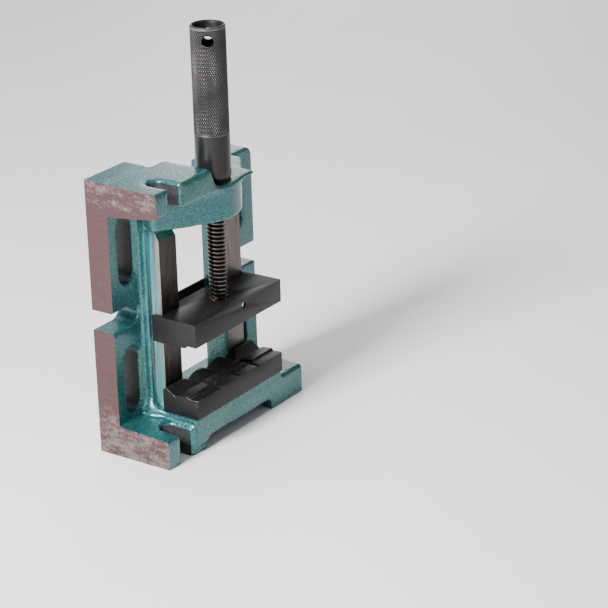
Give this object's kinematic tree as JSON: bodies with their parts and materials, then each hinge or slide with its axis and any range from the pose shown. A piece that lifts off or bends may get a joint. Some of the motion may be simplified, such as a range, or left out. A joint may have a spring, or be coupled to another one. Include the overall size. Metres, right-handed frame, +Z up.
{
  "type": "machine vise",
  "caption": "Three-way drill-press vise standing on its end foot, with slotted flanges, grooved jaws, guide rails and a hollow knurled handle that drives the jaw.",
  "frame": {"origin": "centre of the footprint at the level of the end foot, midway between the rear base plane and the front face of the moving jaw", "axes": "+Z up along the spindle towards the handle, +X along the jaws, -Y towards the operator; the rear base plane faces +Y"},
  "size_m": [0.164, 0.064, 0.2914],
  "materials": {
    "hammered_paint": "teal hammered enamel over rough cast iron, with bare machined faces on the rails and side",
    "black_steel": "black oxide over ground steel, soft sheen",
    "turned_steel": "dark turned steel, lightly oiled, bright thread crests",
    "bright_steel": "bright ground steel",
    "bronze": "plain turned bronze"
  },
  "bodies": {
    "vise_body": {"body_casting": "hammered_paint", "fixed_jaw": "black_steel", "fixed_jaw_screw_left": "black_steel", "fixed_jaw_screw_right": "black_steel", "fixed_jaw_washer_left": "bright_steel", "fixed_jaw_washer_right": "bright_steel", "nut_thrust_washer": "bronze", "floor_washer": "black_steel"},
    "handle": {"handle_sleeve": "black_steel", "spindle_nut": "turned_steel", "sleeve_grub_screw": "black_steel", "nut_circlip": "black_steel"},
    "jaw_carriage": {"moving_jaw": "black_steel", "keeper_plate": "black_steel", "keeper_screw_left": "black_steel", "keeper_screw_right": "black_steel", "keeper_washer_left": "bright_steel", "keeper_washer_right": "bright_steel", "spindle": "turned_steel", "spindle_pin": "bright_steel"}
  },
  "joints": [
    {"name": "handle_turn", "type": "hinge", "parent": "vise_body", "child": "handle", "pos_m": [-0.002, -0.01505, 0.2], "axis": [0, 0, 1], "range_deg": [-4031, 6840]},
    {"name": "jaw_slide", "type": "slide", "parent": "vise_body", "child": "jaw_carriage", "axis": [0, 0, 1], "range_m": [-0.0336, 0.057]}
  ],
  "couplings": [
    {"joint": "jaw_slide", "follows": "handle_turn", "m_per_rad": 0.00047746}
  ]
}
